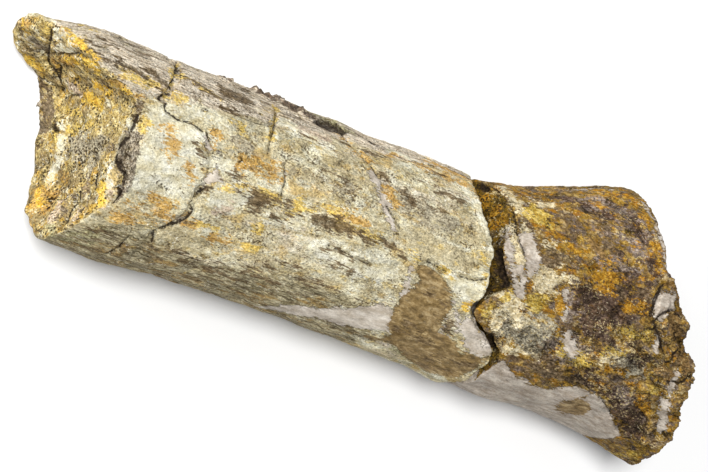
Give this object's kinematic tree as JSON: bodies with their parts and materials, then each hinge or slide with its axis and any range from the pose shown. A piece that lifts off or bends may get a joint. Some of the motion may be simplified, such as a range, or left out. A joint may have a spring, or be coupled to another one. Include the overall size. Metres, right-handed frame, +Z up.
{
  "type": "fossil dinosaur bone section",
  "caption": "Section of a large fossil limb bone with a flared, broken end and a gaping break across it, lying on its side as a display specimen.",
  "frame": {"origin": "the middle of the specimen's box, on the surface that it lies on", "axes": "+X along the bone towards its flared end, +Y across it towards the flank that is uppermost in the picture, +Z up"},
  "size_m": [0.4508, 0.1534, 0.1129],
  "materials": {
    "cream_bone": "dull mineralised bone with ochre and brown stains",
    "rust_bone": "dull, rough, rust-stained mineralised bone",
    "filler": "matt grey-pink restoration filler"
  },
  "bodies": {
    "root": {"shaft_section": "cream_bone", "flared_end_section": "rust_bone", "joint_filler": "filler"}
  },
  "joints": []
}
